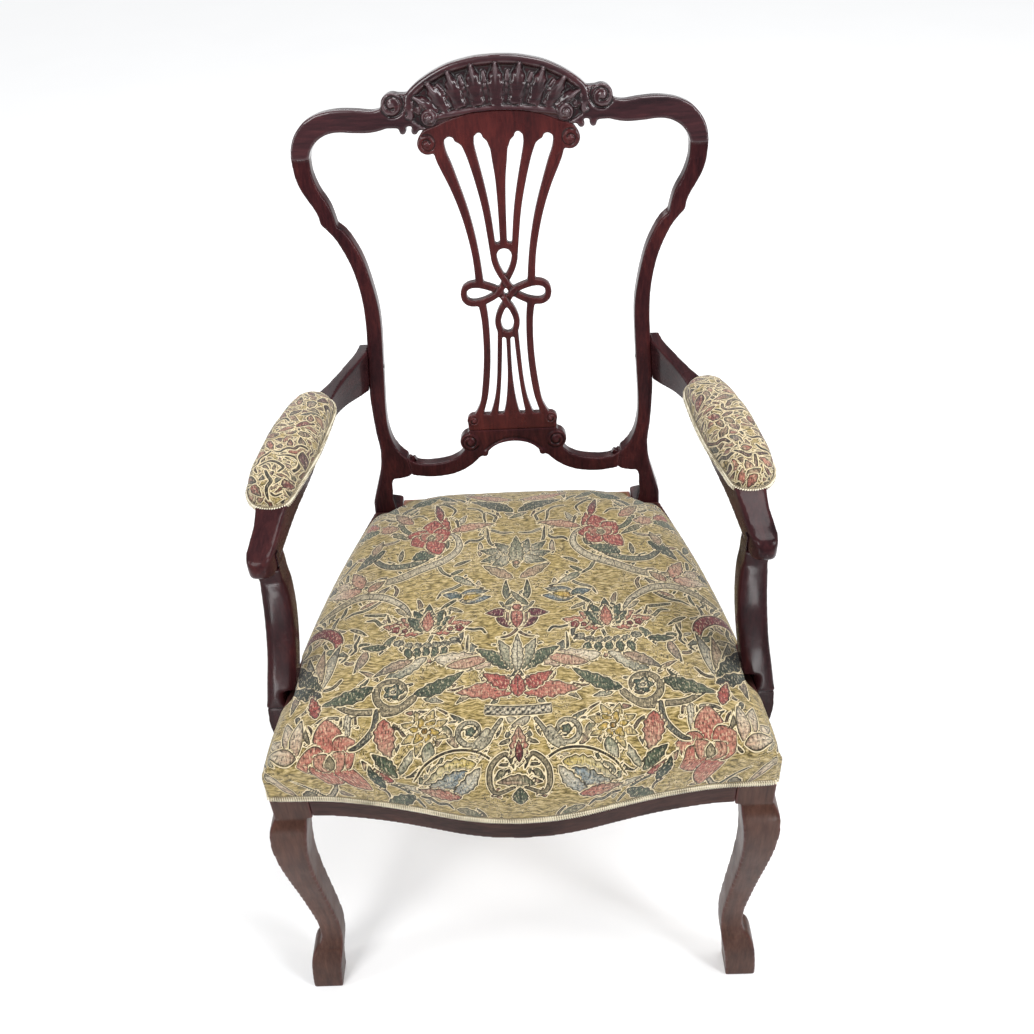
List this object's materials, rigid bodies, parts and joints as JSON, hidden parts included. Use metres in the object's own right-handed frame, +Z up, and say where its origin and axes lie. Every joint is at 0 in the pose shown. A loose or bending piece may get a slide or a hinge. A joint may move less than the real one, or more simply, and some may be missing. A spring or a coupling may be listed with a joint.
{
  "type": "wooden armchair",
  "caption": "Open armchair with a pierced splat back, carved crest, stuffed serpentine seat, padded arms and cabriole front legs.",
  "frame": {"origin": "on the floor, under the middle of the chair's overall footprint", "axes": "+Z up; the front faces -Y; +X to the right when looking at the front"},
  "size_m": [0.575, 0.5981, 0.9866],
  "materials": {
    "mahogany": "polished, semi-gloss",
    "carved_mahogany": "polished, glossy over darker carving",
    "beech": "unpolished, stained",
    "birch": "raw",
    "steel": "dull",
    "jute": "coarse twill",
    "hessian": "open plain weave",
    "hair": "felted",
    "tapestry": "woven, matt",
    "gimp": "braided, matt"
  },
  "bodies": {
    "root": {"front_leg_left": "mahogany", "front_leg_right": "mahogany", "back_post_left": "mahogany", "back_post_right": "mahogany", "crest_rail": "carved_mahogany", "back_splat": "carved_mahogany", "lower_back_rail": "mahogany", "front_seat_rail": "mahogany", "side_seat_rail_left": "mahogany", "side_seat_rail_right": "mahogany", "back_seat_rail": "beech", "corner_block_front_left": "beech", "corner_block_front_right": "beech", "corner_block_back_left": "beech", "corner_block_back_right": "beech", "corner_block_screws": "steel", "seat_frame_dowels": "birch", "back_frame_dowels": "birch", "seat_webbing_long": "jute", "seat_webbing_cross": "jute", "seat_hessian": "hessian", "seat_stuffing": "hair", "seat_cover": "tapestry", "seat_gimp": "gimp", "arm_left": "mahogany", "arm_right": "mahogany", "arm_support_left": "mahogany", "arm_support_right": "mahogany", "arm_pad_left": "hair", "arm_pad_right": "hair", "arm_pad_cover_left": "tapestry", "arm_pad_cover_right": "tapestry", "arm_pad_gimp_left": "gimp", "arm_pad_gimp_right": "gimp", "arm_screws": "steel", "arm_support_screws": "steel", "arm_support_dowels": "birch"}
  },
  "joints": []
}
